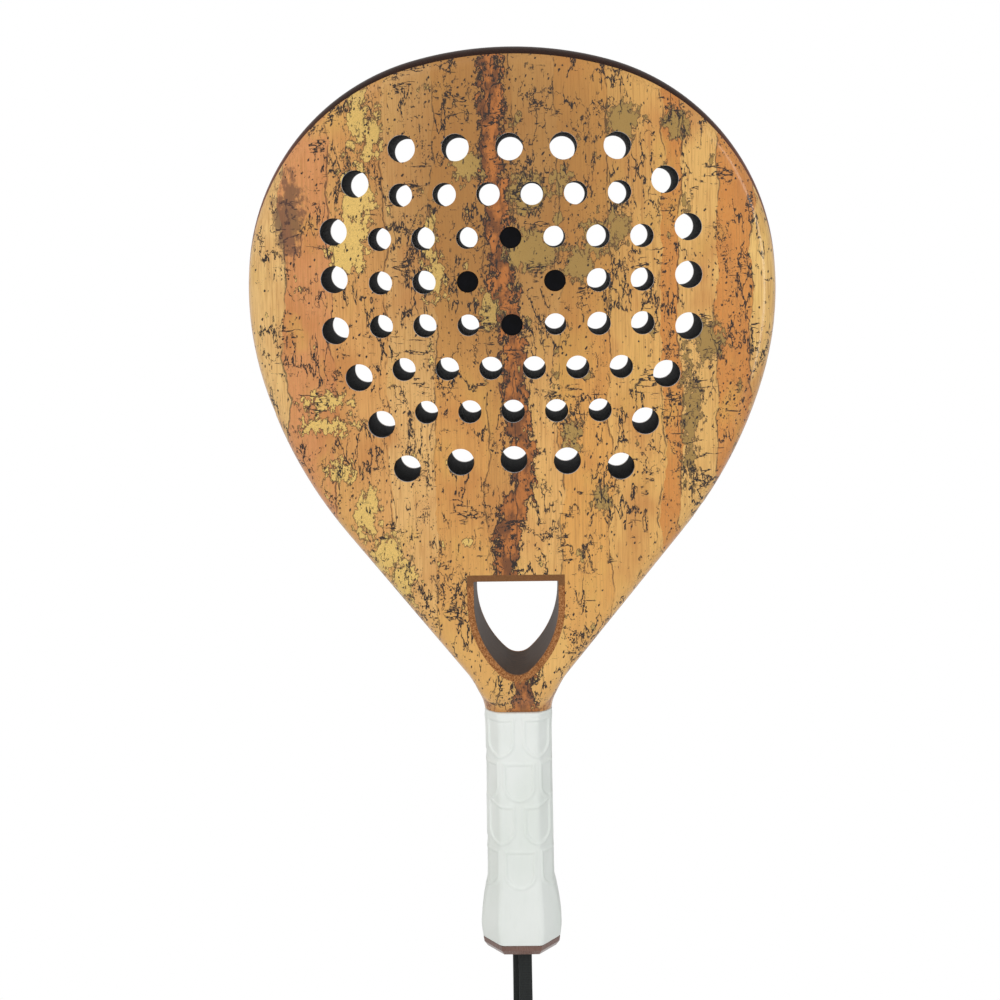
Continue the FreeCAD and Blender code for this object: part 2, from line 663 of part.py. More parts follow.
def webbing(name, half):
    """Flat strap along the corners in half and their mirror image, as runs joined by tangent arcs."""
    corners = [V(0, y, z) for y, z in half] + [V(0, -y, z) for y, z in reversed(half)]
    thick, width = size("strap_thick"), size("strap_width")
    runs = [b - a for a, b in zip(corners, corners[1:])]
    rails, length, radii = {1: [], -1: []}, 0.0, []

    def beside(point, direction, side):
        return point + V(0, -direction.z, direction.y) * (side * thick / 2)

    start = corners[0]
    for number, corner in enumerate(corners[1:-1], start=1):
        before, after = runs[number - 1], runs[number]
        d1, d2 = V(before).normalize(), V(after).normalize()
        turn = d1.getAngle(d2)
        reach = ARC_SHARE * min(before.Length, after.Length)
        radius = reach / math.tan(turn / 2)
        radii.append(radius)
        begin, end = corner - d1 * reach, corner + d2 * reach
        bisector = V(d2 - d1).normalize()
        centre = corner + bisector * (radius / math.cos(turn / 2))
        middle = centre - bisector * radius
        length += (begin - start).Length + radius * turn
        for side in rails:
            rails[side].append(Part.makeLine(beside(start, d1, side), beside(begin, d1, side)))
            top = beside(middle, V(d1 + d2).normalize(), side)
            rails[side].append(Part.Arc(beside(begin, d1, side), top, beside(end, d2, side)).toShape())
        start = end
    last = V(runs[-1]).normalize()
    length += (corners[-1] - start).Length
    for side in rails:
        rails[side].append(Part.makeLine(beside(start, last, side), beside(corners[-1], last, side)))
    first = V(runs[0]).normalize()
    ends = [
        Part.makeLine(beside(corners[0], first, 1), beside(corners[0], first, -1)),
        Part.makeLine(beside(corners[-1], last, 1), beside(corners[-1], last, -1)),
    ]
    outline = Part.Wire(Part.__sortEdges__(rails[1] + rails[-1] + ends))
    solid = Part.Face(outline).extrude(V(width, 0, 0))
    solid.translate(V(-width / 2, 0, 0))
    strap = doc.addObject("Part::Feature", name)
    strap.Shape = solid
    print(f"{name}: length {length:.1f}, radii {[round(r, 1) for r in radii]}, "
          f"volume {solid.Volume:.0f} for section x length {thick * width * length:.0f}")
    return strap


# At the cap's mouth the two legs are sewn into a round fold, which turns in the end of the tail.
FOLD_PLACE = ("0", "0", f"{MOUTH}")
fold = cylinder("fold", "Sheet.fold_radius", "Sheet.strap_width", ALONG_X, FOLD_PLACE)
fold_room = cylinder("fold_room", "Sheet.fold_radius + Sheet.fold_clearance", "2 * Sheet.strap_width", ALONG_X,
                     FOLD_PLACE)
publish("wrist_strap", fuse("wrist_strap_sewn", webbing("wrist_strap_band", STRAP_HALF), fold))
publish("strap_tail", cut("strap_tail_cut", webbing("strap_tail_band", TAIL_HALF), fold_room))

slider_low = "(Sheet.slider_place - Sheet.slider_height / 2)"
slider_high = "(Sheet.slider_place + Sheet.slider_height / 2)"
slider_block = slab("slider_block", slider_low, slider_high, "Sheet.slider_width / 2",
                    "Sheet.slider_depth / 2")
slider_slot = slab("slider_slot", f"{slider_low} - {PAST}", f"{slider_high} + {PAST}", "Sheet.slot_width / 2",
                   "Sheet.slider_slot_half_depth")
slider_cut = cut("slider_cut", slider_block, slider_slot)
doc.recompute()
slider_round = doc.addObject("Part::Fillet", "slider_round")
slider_round.Base = slider_cut
slider_side = size("slider_width") / 2
slider_round.Edges = [
    (number, size("slider_corner"), size("slider_corner"))
    for number, edge in enumerate(slider_cut.Shape.Edges, start=1)
    if abs(edge.Vertexes[0].Z - edge.Vertexes[-1].Z) > TOUCH
    and all(abs(abs(corner.X) - slider_side) < TOUCH for corner in edge.Vertexes)
]
publish("strap_slider", slider_round)

# ---------------------------------------------------------------- checks and files
doc.recompute()
for obj in doc.Objects:
    if "Invalid" in obj.State or "Error" in obj.State:
        raise RuntimeError(f"{obj.Name} failed: {obj.State}")
os.makedirs("parts", exist_ok=True)
for name, obj in nodes.items():
    shape = obj.Shape
    if shape.isNull() or not shape.isValid() or not shape.Solids:
        raise RuntimeError(f"{name} has no valid solid")
    tight = shape.optimalBoundingBox(True, False)
    print(f"{name}: {len(shape.Solids)} solid(s), {shape.Volume:.0f} mm3, "
          f"x {tight.XMin:.1f}..{tight.XMax:.1f} y {tight.YMin:.1f}..{tight.YMax:.1f} "
          f"z {tight.ZMin:.1f}..{tight.ZMax:.1f}")
    shape.exportStep(f"parts/{name}.step")
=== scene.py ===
import math

import bpy
import numpy as np
from mathutils import Matrix, Vector


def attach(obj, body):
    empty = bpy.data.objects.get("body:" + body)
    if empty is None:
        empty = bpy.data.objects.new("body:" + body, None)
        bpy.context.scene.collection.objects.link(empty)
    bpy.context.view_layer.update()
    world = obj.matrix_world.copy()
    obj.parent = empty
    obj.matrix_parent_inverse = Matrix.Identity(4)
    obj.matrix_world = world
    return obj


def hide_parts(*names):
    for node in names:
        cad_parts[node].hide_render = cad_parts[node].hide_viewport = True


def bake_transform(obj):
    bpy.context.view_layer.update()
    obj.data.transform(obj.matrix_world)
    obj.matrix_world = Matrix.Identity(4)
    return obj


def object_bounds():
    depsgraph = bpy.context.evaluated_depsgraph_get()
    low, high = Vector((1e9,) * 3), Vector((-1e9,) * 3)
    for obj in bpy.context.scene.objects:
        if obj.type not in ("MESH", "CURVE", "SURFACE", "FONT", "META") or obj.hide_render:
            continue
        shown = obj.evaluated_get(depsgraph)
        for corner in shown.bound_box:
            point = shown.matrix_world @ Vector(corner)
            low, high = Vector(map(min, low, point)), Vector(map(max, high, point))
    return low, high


# Looks of a padel racket: lacquered cork veneer, black foam in the holes, a brown head guard and
# throat rim, a moulded white grip sleeve, a brown butt cap and a black woven wrist strap.
# Everything is in metres in the frame of the CAD model; MM turns millimetres into metres.
MM = 0.001

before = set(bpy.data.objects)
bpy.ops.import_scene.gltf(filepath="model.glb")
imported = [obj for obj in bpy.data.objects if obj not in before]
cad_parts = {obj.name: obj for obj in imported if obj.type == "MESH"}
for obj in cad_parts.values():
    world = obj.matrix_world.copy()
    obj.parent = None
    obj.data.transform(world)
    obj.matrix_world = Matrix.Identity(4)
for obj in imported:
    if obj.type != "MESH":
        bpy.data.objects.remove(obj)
cad_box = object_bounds()
scene = bpy.context.scene


# ---------------------------------------------------------------- camera
CAMERA_PLACE = Vector((0.0102, -0.6769, 0.3069))
CAMERA_PITCH, CAMERA_YAW, CAMERA_ROLL = -3.82, 0.75, -0.89
CAMERA_LENS = 49.1
CAMERA_SHIFT = (-0.0149, -0.194)


def make_camera():
    """The camera, facing the racket's front a little from above."""
    data = bpy.data.cameras.new("camera")
    data.lens, data.sensor_width = CAMERA_LENS, 36.0
    data.shift_x, data.shift_y = CAMERA_SHIFT
    camera = bpy.data.objects.new("camera", data)
    scene.collection.objects.link(camera)
    turn = (Matrix.Rotation(math.radians(CAMERA_YAW), 4, "Z")
            @ Matrix.Rotation(math.radians(90 + CAMERA_PITCH), 4, "X")
            @ Matrix.Rotation(math.radians(CAMERA_ROLL), 4, "Z"))
    camera.matrix_world = Matrix.Translation(CAMERA_PLACE) @ turn
    scene.camera = camera


# ---------------------------------------------------------------- node helpers
def rgb(red, green, blue):
    """A colour given as it is seen on a screen, 0 to 255, as the linear colour a shader takes."""
    def linear(value):
        value /= 255
        return value / 12.92 if value <= 0.04045 else ((value + 0.055) / 1.055) ** 2.4
    return (linear(red), linear(green), linear(blue), 1.0)


class Graph:
    """Builds one material's nodes; every method returns an output socket."""

    def __init__(self, name):
        self.material = bpy.data.materials.new(name)
        self.material.use_nodes = True
        self.tree = self.material.node_tree
        self.shader = self.tree.nodes["Principled BSDF"]

    def node(self, kind, **settings):
        made = self.tree.nodes.new(kind)
        for name, value in settings.items():
            setattr(made, name, value)
        return made

    def feed(self, socket, value):
        if isinstance(value, bpy.types.NodeSocket):
            self.tree.links.new(value, socket)
        else:
            socket.default_value = value

    def math(self, operation, a, b=0.0):
        made = self.node("ShaderNodeMath", operation=operation)
        for socket, value in zip(made.inputs, (a, b)):
            self.feed(socket, value)
        return made.outputs[0]

    def vector(self, operation, a, b=(0, 0, 0)):
        made = self.node("ShaderNodeVectorMath", operation=operation)
        self.feed(made.inputs[0], a)
        self.feed(made.inputs[1], b)
        return made.outputs["Value" if operation == "LENGTH" else "Vector"]

    def place(self):
        """Millimetres in the row frame."""
        spot = self.node("ShaderNodeTexCoord").outputs["Object"]
        return self.vector("MULTIPLY", spot, (1 / MM, 1 / MM, 1 / MM))

    def parts(self, vector):
        made = self.node("ShaderNodeSeparateXYZ")
        self.feed(made.inputs[0], vector)
        return made.outputs

    def joined(self, x, y, z):
        made = self.node("ShaderNodeCombineXYZ")
        for socket, value in zip(made.inputs, (x, y, z)):
            self.feed(socket, value)
        return made.outputs[0]

    def stretched(self, vector, sx, sy, sz, shift=0.0):
        return self.vector("ADD", self.vector("MULTIPLY", vector, (sx, sy, sz)), (shift, shift, shift))

    def noise(self, vector, detail=4.0, rough=0.55, distort=0.0):
        made = self.node("ShaderNodeTexNoise")
        self.feed(made.inputs["Vector"], vector)
        settings = (("Scale", 1.0), ("Detail", detail), ("Roughness", rough), ("Distortion", distort))
        for name, value in settings:
            made.inputs[name].default_value = value
        return made.outputs["Fac"]

    def cells(self, vector, output="Distance"):
        made = self.node("ShaderNodeTexVoronoi")
        self.feed(made.inputs["Vector"], vector)
        made.inputs["Scale"].default_value = 1.0
        return made.outputs[output]

    def ramp(self, value, stops, hard=False):
        made = self.node("ShaderNodeValToRGB")
        made.color_ramp.interpolation = "CONSTANT" if hard else "LINEAR"
        self.feed(made.inputs[0], value)
        elements = made.color_ramp.elements
        while len(elements) < len(stops):
            elements.new(1.0)
        for element, (place, colour) in zip(elements, stops):
            element.position = place
            element.color = colour if not isinstance(colour, float) else (colour, colour, colour, 1.0)
        return made.outputs[0]

    def step(self, value, low, high):
        """0 below low, 1 above high, smooth between; low may be the larger."""
        made = self.node("ShaderNodeMapRange", interpolation_type="SMOOTHSTEP")
        self.feed(made.inputs[0], value)
        made.inputs[1].default_value, made.inputs[2].default_value = min(low, high), max(low, high)
        made.inputs[3].default_value, made.inputs[4].default_value = (0, 1) if low < high else (1, 0)
        return made.outputs[0]

    def mix(self, share, a, b):
        made = self.node("ShaderNodeMix", data_type="RGBA")
        self.feed(made.inputs[0], share)
        self.feed(made.inputs[6], a)
        self.feed(made.inputs[7], b)
        return made.outputs[2]

    def bump(self, height, distance, strength=1.0):
        """Bump of a height given from 0 to 1, distance metres deep."""
        made = self.node("ShaderNodeBump")
        self.feed(made.inputs["Height"], height)
        made.inputs["Distance"].default_value = distance
        made.inputs["Strength"].default_value = strength
        self.feed(self.shader.inputs["Normal"], made.outputs[0])

    def finish(self, colour, roughness, **constants):
        self.feed(self.shader.inputs["Base Color"], colour)
        self.feed(self.shader.inputs["Roughness"], roughness)
        for name, value in constants.items():
            self.shader.inputs[name.replace("_", " ")].default_value = value
        return self.material


# ---------------------------------------------------------------- cork
# Veneer strips across the face: where each begins, in millimetres from the axis, its colour,
# and how freely it is speckled.
STRIPS = (
    (-135, (236, 192, 122), 0.3),
    (-110, (216, 144, 88), 0.35),
    (-87, (222, 162, 92), 0.5),
    (-61, (232, 182, 112), 0.9),
    (-38, (218, 156, 80), 0.5),
    (-13, (206, 146, 74), 0.9),
    (1, (234, 180, 104), 0.5),
    (23, (226, 162, 80), 0.7),
    (47, (232, 178, 98), 0.4),
    (72, (212, 136, 60), 1.0),
    (81, (232, 182, 104), 0.5),
    (99, (214, 138, 62), 1.0),
    (116, (242, 198, 118), 0.15),
)
STRIP_REACH = 135.0
# Bare patches where the gilt backing shows: middle across and up, half width, half height.
GILT_FRONT = (
    (-74, 316, 7, 15), (-79, 293, 9, 12), (-73, 358, 4, 13), (-67, 345, 4, 10), (-72, 163, 5, 12),
    (-64, 141, 7, 9), (-55, 128, 5, 9), (-91, 206, 9, 3), (-92, 217, 8, 3), (-39, 293, 3, 10),
    (-36, 278, 4, 9), (-85, 183, 6, 4), (-10, 262, 5, 8), (8, 318, 8, 9), (10, 290, 12, 9),
    (25, 322, 5, 5), (54, 351, 7, 8), (80, 350, 6, 6), (42, 296, 6, 8), (95, 245, 6, 8),
    (-20, 330, 7, 6), (33, 282, 7, 7), (52, 300, 5, 7), (86, 208, 3, 18), (28, 200, 4, 7),
    (43, 168, 4, 5),
)
GILT_REAR = (
    (62, 330, 8, 12), (55, 300, 6, 14), (80, 250, 5, 10), (-30, 340, 9, 8), (-55, 250, 5, 16),
    (-92, 280, 6, 9), (12, 240, 5, 12), (-12, 180, 6, 9), (44, 170, 5, 10), (-60, 165, 7, 6),
    (96, 300, 5, 9), (-20, 290, 6, 6),
)
# How far the ragged noise pushes the edges of the vein and of the gilt patches.
RAGGED_REACH = 26.0
# The dark vein that runs down the veneer, as its place across at each height.
VEIN = (
    (390, -9), (330, -8), (280, -5), (250, 0), (215, 2),
    (180, 5), (150, -4), (120, -4), (90, 4), (60, 3),
)


def signed(g, noise, swing, middle=0.5):
    """A noise moved to lie about zero and stretched to swing."""
    return g.math("MULTIPLY", g.math("SUBTRACT", noise, middle), swing)


def smaller(g, values):
    """The smallest of several values."""
    least = values[0]
    for value in values[1:]:
        least = g.math("MINIMUM", least, value)
    return least


def strips(g, place, shaken, seed):
    """Colour and freckling of the veneer strips, and the thin broken seams where two meet."""
    along = g.math("DIVIDE", g.math("ADD", shaken, STRIP_REACH), 2 * STRIP_REACH)
    starts = [(start + STRIP_REACH) / (2 * STRIP_REACH) for start, _, _ in STRIPS]
    colour = g.ramp(along, [(at, rgb(*tint)) for at, (_, tint, _) in zip(starts, STRIPS)], hard=True)
    freckled = g.ramp(along, [(at, many) for at, (_, _, many) in zip(starts, STRIPS)], hard=True)
    gaps = [g.math("ABSOLUTE", g.math("SUBTRACT", shaken, float(start))) for start, _, _ in STRIPS[1:]]
    broken = g.step(g.noise(g.stretched(place, 0.3, 0.3, 0.06, seed + 21), detail=4.0), 0.42, 0.56)
    seam = g.math("MULTIPLY", g.step(smaller(g, gaps), 0.55, 0.12), g.math("MULTIPLY", broken, 0.75))
    return colour, freckled, seam


def toned(g, place, z, colour, grain, seed):
    """Upright grain and slow drifts of tone, browner over the crown and paler down at the throat."""
    fine = g.noise(g.stretched(place, 5.0, 5.0, 0.5, seed + 9), detail=3.0, rough=0.6)
    drift = g.noise(g.stretched(place, 0.03, 0.05, 0.022, seed + 5), detail=3.0)
    blush = g.noise(g.stretched(place, 0.06, 0.06, 0.035, seed + 17), detail=4.0)
    crown = g.vector("DIVIDE", g.vector("SUBTRACT", place, (-5, 0, 325)), (85, 1e6, 125))
    crown = g.math("ADD", g.vector("LENGTH", crown), g.math("MULTIPLY", drift, 0.5))
    for value, low, high, share, tint in (
        (grain, 0.42, 0.68, 0.6, (170, 112, 54)),
        (fine, 0.45, 0.75, 0.45, (222, 176, 100)),
        (drift, 0.45, 0.7, 0.6, (188, 116, 52)),
        (blush, 0.5, 0.75, 0.5, (218, 172, 84)),
        (crown, 1.35, 0.55, 0.75, (154, 104, 46)),
        (z, 175.0, 60.0, 0.5, (246, 196, 112)),
    ):
        colour = g.mix(g.math("MULTIPLY", g.step(value, low, high), share), colour, rgb(*tint))
    return colour


def vein(g, place, x, z, ragged, seed, share):
    """The reddish brown vein: where it is, its ragged dark edge and its colour."""
    line = g.ramp(
        g.math("DIVIDE", z, 400.0),
        [(height / 400.0, (across + 50.0) / 100.0) for height, across in reversed(VEIN)],
    )
    middle = g.math("SUBTRACT", g.math("MULTIPLY", g.parts(line)[0], 100.0), 50.0)
    away = g.math("ABSOLUTE", g.math("SUBTRACT", x, middle))
    away = g.math("SUBTRACT", away, signed(g, ragged, RAGGED_REACH, 0.42))
    inside = g.math("MULTIPLY", g.step(away, 3.4, 2.2), share)
    edge = g.step(g.math("ABSOLUTE", g.math("SUBTRACT", away, 3.2)), 1.5, 0.5)
    patch = g.noise(g.stretched(place, 0.2, 0.2, 0.1, seed + 31), detail=5.0, rough=0.6)
    tint = g.mix(g.step(patch, 0.38, 0.6), rgb(116, 66, 26), rgb(186, 112, 48))
    return inside, g.math("MULTIPLY", edge, share), tint


def bare_gilt(g, place, x, z, ragged, gilt, seed):
    """Bare gilt, bright on the left and duller to the right: where it is, its rim and its colour."""
    reaches = []
    for across, up, wide, tall in gilt:
        spot = g.vector("DIVIDE", g.vector("SUBTRACT", place, (across, 0, up)), (wide, 1e6, tall))
        past = g.math("SUBTRACT", g.vector("LENGTH", spot), 1.0)
        reaches.append(g.math("MULTIPLY", past, float(min(wide, tall))))
    nearest = g.math("ADD", smaller(g, reaches), signed(g, ragged, RAGGED_REACH))
    stray = g.noise(g.stretched(place, 0.11, 0.3, 0.065, seed + 41), detail=6.0, rough=0.62)
    stray = g.math("MULTIPLY", g.math("SUBTRACT", 0.665, stray), 60.0)
    nearest = g.math("MINIMUM", nearest, stray)
    bare = g.step(nearest, 0.35, -0.1)
    rim = g.step(g.math("ABSOLUTE", g.math("SUBTRACT", nearest, 0.6)), 1.0, 0.4)
    lean = g.math("MULTIPLY", g.math("SUBTRACT", z, 250.0), 0.35)
    dull = g.step(g.math("ADD", x, lean), -60.0, 30.0)
    gold = g.mix(dull, rgb(238, 198, 110), rgb(166, 132, 68))
    crystals = g.noise(g.stretched(place, 2.2, 2.2, 2.2, seed), detail=4.0, rough=0.7)
    gold = g.mix(g.math("MULTIPLY", g.step(crystals, 0.4, 0.7), 0.5), gold, rgb(150, 110, 50))
    return bare, rim, gold


def dark_marks(g, place, ragged, freckled, seed):
    """Specks, dust, short dashes either way of the grain, and long thin cracks."""
    crowd = g.noise(g.stretched(place, 0.05, 0.05, 0.04, seed + 51), detail=3.0)
    crowd = g.math("MULTIPLY", g.math("ADD", g.step(crowd, 0.4, 0.68), 0.25), freckled)
    bend = g.joined(g.math("MULTIPLY", ragged, 3.0), 0.0, g.math("MULTIPLY", ragged, 4.0))
    bent = g.vector("ADD", place, bend)
    dark = None
    for size, tall, shift, channel, edge, core, share in (
        (0.62, 0.42, 0, 0, 0.34, 0.2, 0.5), (1.3, 0.9, 7, 1, 0.32, 0.18, 0.3),
    ):
        spot = g.stretched(bent, size, size, tall, seed + shift)
        picked = g.parts(g.cells(spot, output="Color"))[channel]
        taken = g.math("LESS_THAN", picked, g.math("MULTIPLY", crowd, share))
        speck = g.math("MULTIPLY", g.step(g.cells(spot), edge, core), taken)
        dark = speck if dark is None else g.math("MAXIMUM", dark, speck)

    sparse = g.math("ADD", 0.618, g.math("MULTIPLY", g.math("SUBTRACT", 1.0, crowd), 0.06))
    for across, up, shift in ((0.07, 0.5, 61), (0.4, 0.08, 71), (0.22, 0.3, 81), (0.6, 0.24, 91)):
        dash = g.noise(g.stretched(place, across, 0.4, up, seed + shift), detail=5.0, rough=0.72)
        dash = g.step(g.math("SUBTRACT", dash, sparse), 0.0, 0.02)
        dark = g.math("MAXIMUM", dark, g.math("MULTIPLY", dash, 0.95))

    # the cracks are the level lines of a slow noise, kept only in some places
    for across, up, shift, kept in (
        (0.1, 0.03, 101, 0.5), (0.03, 0.1, 111, 0.56), (0.14, 0.1, 121, 0.56),
    ):
        field = g.noise(g.stretched(place, across, 0.1, up, seed + shift), detail=6.0, rough=0.6)
        level = g.math("ABSOLUTE", g.math("SUBTRACT", field, 0.5))
        spot = g.stretched(place, 0.05, 0.05, 0.035, seed + shift + 3)
        where = g.step(g.noise(spot, detail=4.0, rough=0.6), kept, kept + 0.03)
        dark = g.math("MAXIMUM", dark, g.math("MULTIPLY", g.step(level, 0.017, 0.008), where))
    return dark


def cork(name, gilt, seed, vein_share):
    """Lacquered cork veneer in upright strips, with cracks, specks, a dark vein and gilt patches."""
    g = Graph(name)
    place = g.place()
    x, y, z = g.parts(place)
    wander = g.noise(g.stretched(place, 0.02, 0.05, 0.03, seed), detail=3.0)
    ragged = g.noise(g.stretched(place, 0.35, 0.35, 0.22, seed + 3), detail=6.0, rough=0.65)
    grain = g.noise(g.stretched(place, 1.6, 1.6, 0.05, seed), detail=5.0, rough=0.7)
    shaken = g.math("ADD", g.math("ADD", x, signed(g, wander, 13.0)), signed(g, ragged, 3.0))
    colour, freckled, seam = strips(g, place, shaken, seed)
    colour = toned(g, place, z, colour, grain, seed)
    inside_vein, vein_edge, vein_tint = vein(g, place, x, z, ragged, seed, vein_share)
    colour = g.mix(inside_vein, colour, vein_tint)
    bare, rim, gold = bare_gilt(g, place, x, z, ragged, gilt, seed)
    colour = g.mix(bare, colour, gold)
    dark = dark_marks(g, place, ragged, freckled, seed)
    for edge in (seam, vein_edge, g.math("MULTIPLY", rim, 0.8)):
        dark = g.math("MAXIMUM", dark, edge)
    colour = g.mix(dark, colour, rgb(30, 15, 7))

    # a smoky smudge near the left edge, and orange-brown sides
    smudge = g.vector("DIVIDE", g.vector("SUBTRACT", place, (-107, 0, 308)), (9, 1e6, 24))
    smudge = g.math("ADD", g.vector("LENGTH", smudge), signed(g, ragged, 2.6))
    smoke = g.math("MULTIPLY", g.step(smudge, 1.0, 0.5), 0.72 * vein_share)
    colour = g.mix(smoke, colour, rgb(84, 52, 40))
    side = g.step(g.math("ABSOLUTE", y), 15.2, 13.2)
    colour = g.mix(g.math("MULTIPLY", side, 0.65), colour, rgb(178, 112, 52))

    height = g.math("SUBTRACT", g.math("MULTIPLY", grain, 0.25), g.math("MULTIPLY", dark, 0.8))
    g.bump(g.math("SUBTRACT", height, g.math("MULTIPLY", bare, 0.3)), 0.00012, 0.5)
    roughness = g.math("ADD", 0.36, g.math("MULTIPLY", dark, 0.2))
    return g.finish(colour, roughness, Coat_Weight=0.4, Coat_Roughness=0.12, Specular_IOR_Level=0.3)


# ---------------------------------------------------------------- other materials
def moulded(name, tint, shade, roughness, grain=2.4, depth=0.00004, **constants):
    """Moulded plastic or rubber: a slight drift of tone, a fine skin grain and faint wear."""
    g = Graph(name)
    place = g.place()
    drift = g.noise(g.stretched(place, 0.05, 0.05, 0.05), detail=4.0)
    skin = g.noise(g.stretched(place, grain, grain, grain), detail=4.0, rough=0.6)
    scuffs = g.noise(g.stretched(place, 0.9, 0.12, 0.3, 7.0), detail=6.0, rough=0.7)
    colour = g.mix(g.step(drift, 0.3, 0.72), rgb(*tint), rgb(*shade))
    colour = g.mix(g.math("MULTIPLY", g.step(skin, 0.35, 0.7), 0.12), colour, rgb(*shade))
    g.bump(g.math("ADD", skin, g.math("MULTIPLY", g.step(scuffs, 0.6, 0.75), 0.3)), depth)
    rough = g.math("ADD", roughness, g.math("MULTIPLY", g.math("SUBTRACT", scuffs, 0.5), 0.16))
    return g.finish(colour, rough, **constants)


def guard_material():
    """Brown head guard, nearly black over the crown and redder down the sides."""
    g = Graph("guard_brown")
    place = g.place()
    x, _, z = g.parts(place)
    skin = g.noise(g.stretched(place, 1.8, 1.8, 1.8), detail=4.0, rough=0.6)
    drift = g.noise(g.stretched(place, 0.06, 0.1, 0.06), detail=3.0)
    high = g.step(g.math("ADD", z, g.math("MULTIPLY", drift, 14.0)), 320.0, 374.0)
    colour = g.mix(high, rgb(112, 64, 46), rgb(34, 18, 10))
    colour = g.mix(g.math("MULTIPLY", g.step(skin, 0.4, 0.7), 0.15), colour, rgb(128, 78, 58))
    g.bump(skin, 0.00003)
    return g.finish(colour, g.math("ADD", 0.34, g.math("MULTIPLY", skin, 0.16)), Specular_IOR_Level=0.1)


def liner_material():
    """Throat liner: smooth satin brown inside, rough speckled cork brown on its rims."""
    g = Graph("liner_brown")
    place = g.place()
    _, y, z = g.parts(place)
    rim = g.step(g.math("ABSOLUTE", y), 17.2, 18.2)
    under_top = g.step(z, 124.5, 126.0)
    crumbs = g.noise(g.stretched(place, 1.2, 1.2, 1.2), detail=6.0, rough=0.75)
    pits = g.cells(g.stretched(place, 1.1, 1.1, 1.1))
    grain = g.noise(g.stretched(place, 0.3, 2.6, 0.3), detail=5.0, rough=0.7)
    satin = g.mix(g.step(grain, 0.3, 0.75), rgb(58, 38, 22), rgb(92, 64, 38))
    rough_rim = g.mix(g.step(crumbs, 0.36, 0.66), rgb(118, 66, 32), rgb(198, 140, 88))
    rough_rim = g.mix(g.math("MULTIPLY", g.step(pits, 0.3, 0.12), 0.6), rough_rim, rgb(82, 48, 28))
    smooth_rim = g.mix(g.step(crumbs, 0.3, 0.7), rgb(118, 80, 50), rgb(136, 94, 60))
    edge = g.mix(under_top, rough_rim, smooth_rim)
    colour = g.mix(rim, satin, edge)
    g.bump(g.math("MULTIPLY", crumbs, g.math("ADD", 0.15, g.math("MULTIPLY", rim, 0.85))), 0.0002, 0.7)
    roughness = g.math("ADD", 0.5, g.math("MULTIPLY", rim, 0.1))
    return g.finish(colour, roughness, Specular_IOR_Level=0.07)


def foam_material(name, tint):
    """Black expanded foam: closed cells and the drill's faint rings in each hole."""
    g = Graph(name)
    place = g.place()
    rings = g.noise(g.stretched(place, 0.25, 2.2, 0.25), detail=4.0, rough=0.6)
    bubbles = g.cells(g.stretched(place, 1.9, 1.9, 1.9))
    colour = g.mix(g.step(rings, 0.35, 0.75), rgb(*tint), rgb(14, 14, 15))
    colour = g.mix(g.math("MULTIPLY", g.step(bubbles, 0.2, 0.05), 0.5), colour, rgb(6, 6, 7))
    g.bump(g.math("ADD", bubbles, rings), 0.00015, 0.6)
    return g.finish(colour, g.math("ADD", 0.62, g.math("MULTIPLY", rings, 0.2)), Specular_IOR_Level=0.06)


def composite_material(name, tint, thread):
    """Woven fibre in resin: two crossing bands of tows under a glossy coat."""
    g = Graph(name)
    place = g.place()
    x, y, z = g.parts(place)
    over = g.math("SINE", g.math("MULTIPLY", g.math("ADD", x, z), 3.1))
    under = g.math("SINE", g.math("MULTIPLY", g.math("SUBTRACT", g.math("ADD", x, y), z), 3.1))
    weave = g.math("MULTIPLY", over, under)
    fibre = g.noise(g.stretched(place, 6.0, 6.0, 1.0), detail=3.0, rough=0.7)
    colour = g.mix(g.step(weave, -0.4, 0.4), rgb(*tint), rgb(*thread))
    colour = g.mix(g.math("MULTIPLY", fibre, 0.25), colour, rgb(*thread))
    g.bump(weave, 0.00006, 0.5)
    return g.finish(colour, g.math("ADD", 0.3, g.math("MULTIPLY", fibre, 0.15)), Coat_Weight=0.4)


def grip_material():
    """White moulded rubber with a trace of green, duller and greyer in scattered patches, finely pebbled.
    """
    g = Graph("grip_rubber")
    place = g.place()
    drift = g.noise(g.stretched(place, 0.035, 0.035, 0.02), detail=3.0)
    handled = g.noise(g.stretched(place, 0.5, 0.5, 0.12, 5.0), detail=5.0, rough=0.6)
    pebble = g.cells(g.stretched(place, 3.2, 3.2, 3.2))
    colour = g.mix(g.step(drift, 0.3, 0.72), rgb(240, 243, 238), rgb(231, 236, 229))
    colour = g.mix(g.math("MULTIPLY", g.step(handled, 0.5, 0.8), 0.2), colour, rgb(220, 225, 218))
    g.bump(pebble, 0.00002, 0.5)
    return g.finish(colour, g.math("ADD", 0.5, g.math("MULTIPLY", handled, 0.14)), Specular_IOR_Level=0.35)


